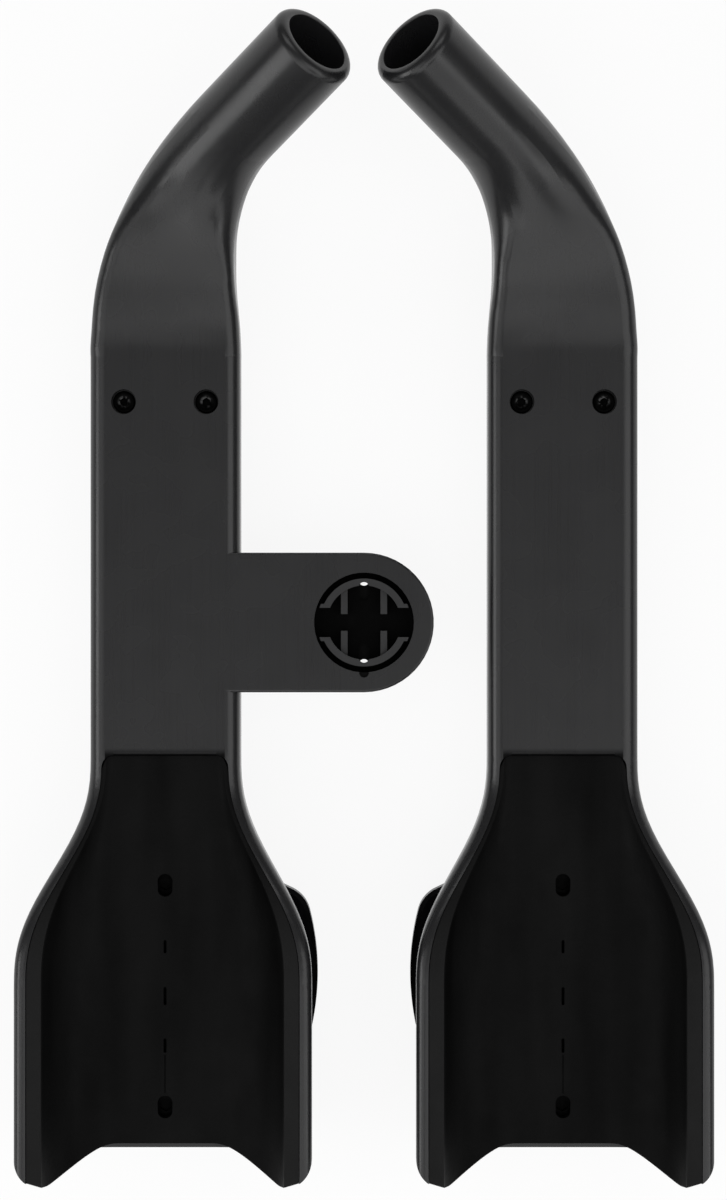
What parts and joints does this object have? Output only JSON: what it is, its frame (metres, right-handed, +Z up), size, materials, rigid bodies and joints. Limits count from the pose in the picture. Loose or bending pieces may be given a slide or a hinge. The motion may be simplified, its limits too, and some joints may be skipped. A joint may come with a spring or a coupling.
{
  "type": "aerobar",
  "caption": "Pair of time-trial handlebar extensions: hollow angled grips, flat beams, flared padded forearm cradles on offset riser feet, and a quarter-turn computer socket.",
  "frame": {"origin": "centre of the four riser holes, on the underside of the two riser feet", "axes": "+X to the rider's right, +Y forward, +Z up"},
  "size_m": [0.2312, 0.3873, 0.079],
  "materials": {
    "satin_carbon": "satin",
    "pad_foam": "matt",
    "hook_tape": "matt",
    "black_steel": "black oxide",
    "insert_brass": "turned",
    "black_alloy": "black anodised",
    "grommet_rubber": "matt",
    "socket_plastic": "moulded"
  },
  "bodies": {
    "root": {"extension_arm_left": "satin_carbon", "extension_arm_right": "satin_carbon", "armrest_pad_left": "pad_foam", "armrest_pad_right": "pad_foam", "pad_hook_strips_left": "hook_tape", "pad_hook_strips_right": "hook_tape", "boss_screws_left": "black_steel", "boss_screws_right": "black_steel", "boss_inserts_left": "insert_brass", "boss_inserts_right": "insert_brass", "cup_bolts_left": "black_steel", "cup_bolts_right": "black_steel", "cup_washers_left": "black_steel", "cup_washers_right": "black_steel", "riser_foot_left": "black_alloy", "riser_foot_right": "black_alloy", "cable_grommet_left": "grommet_rubber", "cable_grommet_right": "grommet_rubber", "computer_mount_insert": "socket_plastic", "computer_insert_screws": "black_steel"}
  },
  "joints": []
}
